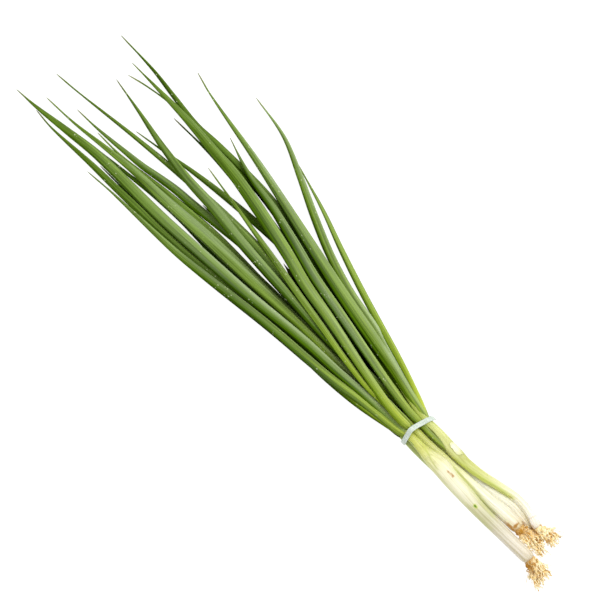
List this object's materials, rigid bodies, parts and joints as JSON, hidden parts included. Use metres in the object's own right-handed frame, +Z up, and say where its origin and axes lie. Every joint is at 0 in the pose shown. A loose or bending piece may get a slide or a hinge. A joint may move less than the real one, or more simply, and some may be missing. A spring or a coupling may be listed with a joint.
{
  "type": "tied bunch of chives with roots",
  "caption": "Bunch of slim green allium leaves on white shanks with straw-coloured root tufts, held by a pale rubber band and lying flat.",
  "frame": {"origin": "middle of the footprint, on the surface that the bunch lies on", "axes": "+X along the bunch to the leaf tips, +Y across it to the side of the longest leaf, +Z up"},
  "size_m": [0.4024, 0.0955, 0.0169],
  "materials": {
    "leaf": "waxy satin",
    "shank": "moist satin",
    "root": "dry matte",
    "band": "matte"
  },
  "bodies": {
    "root": {"plant_a_leaves": "leaf", "plant_a_shank": "shank", "plant_a_roots": "root", "plant_b_leaves": "leaf", "plant_b_shank": "shank", "plant_b_roots": "root", "plant_c_leaves": "leaf", "plant_c_shank": "shank", "plant_c_roots": "root", "plant_d_leaves": "leaf", "plant_d_shank": "shank", "plant_d_roots": "root", "plant_e_leaves": "leaf", "plant_e_shank": "shank", "plant_e_roots": "root", "rubber_band": "band"}
  },
  "joints": []
}
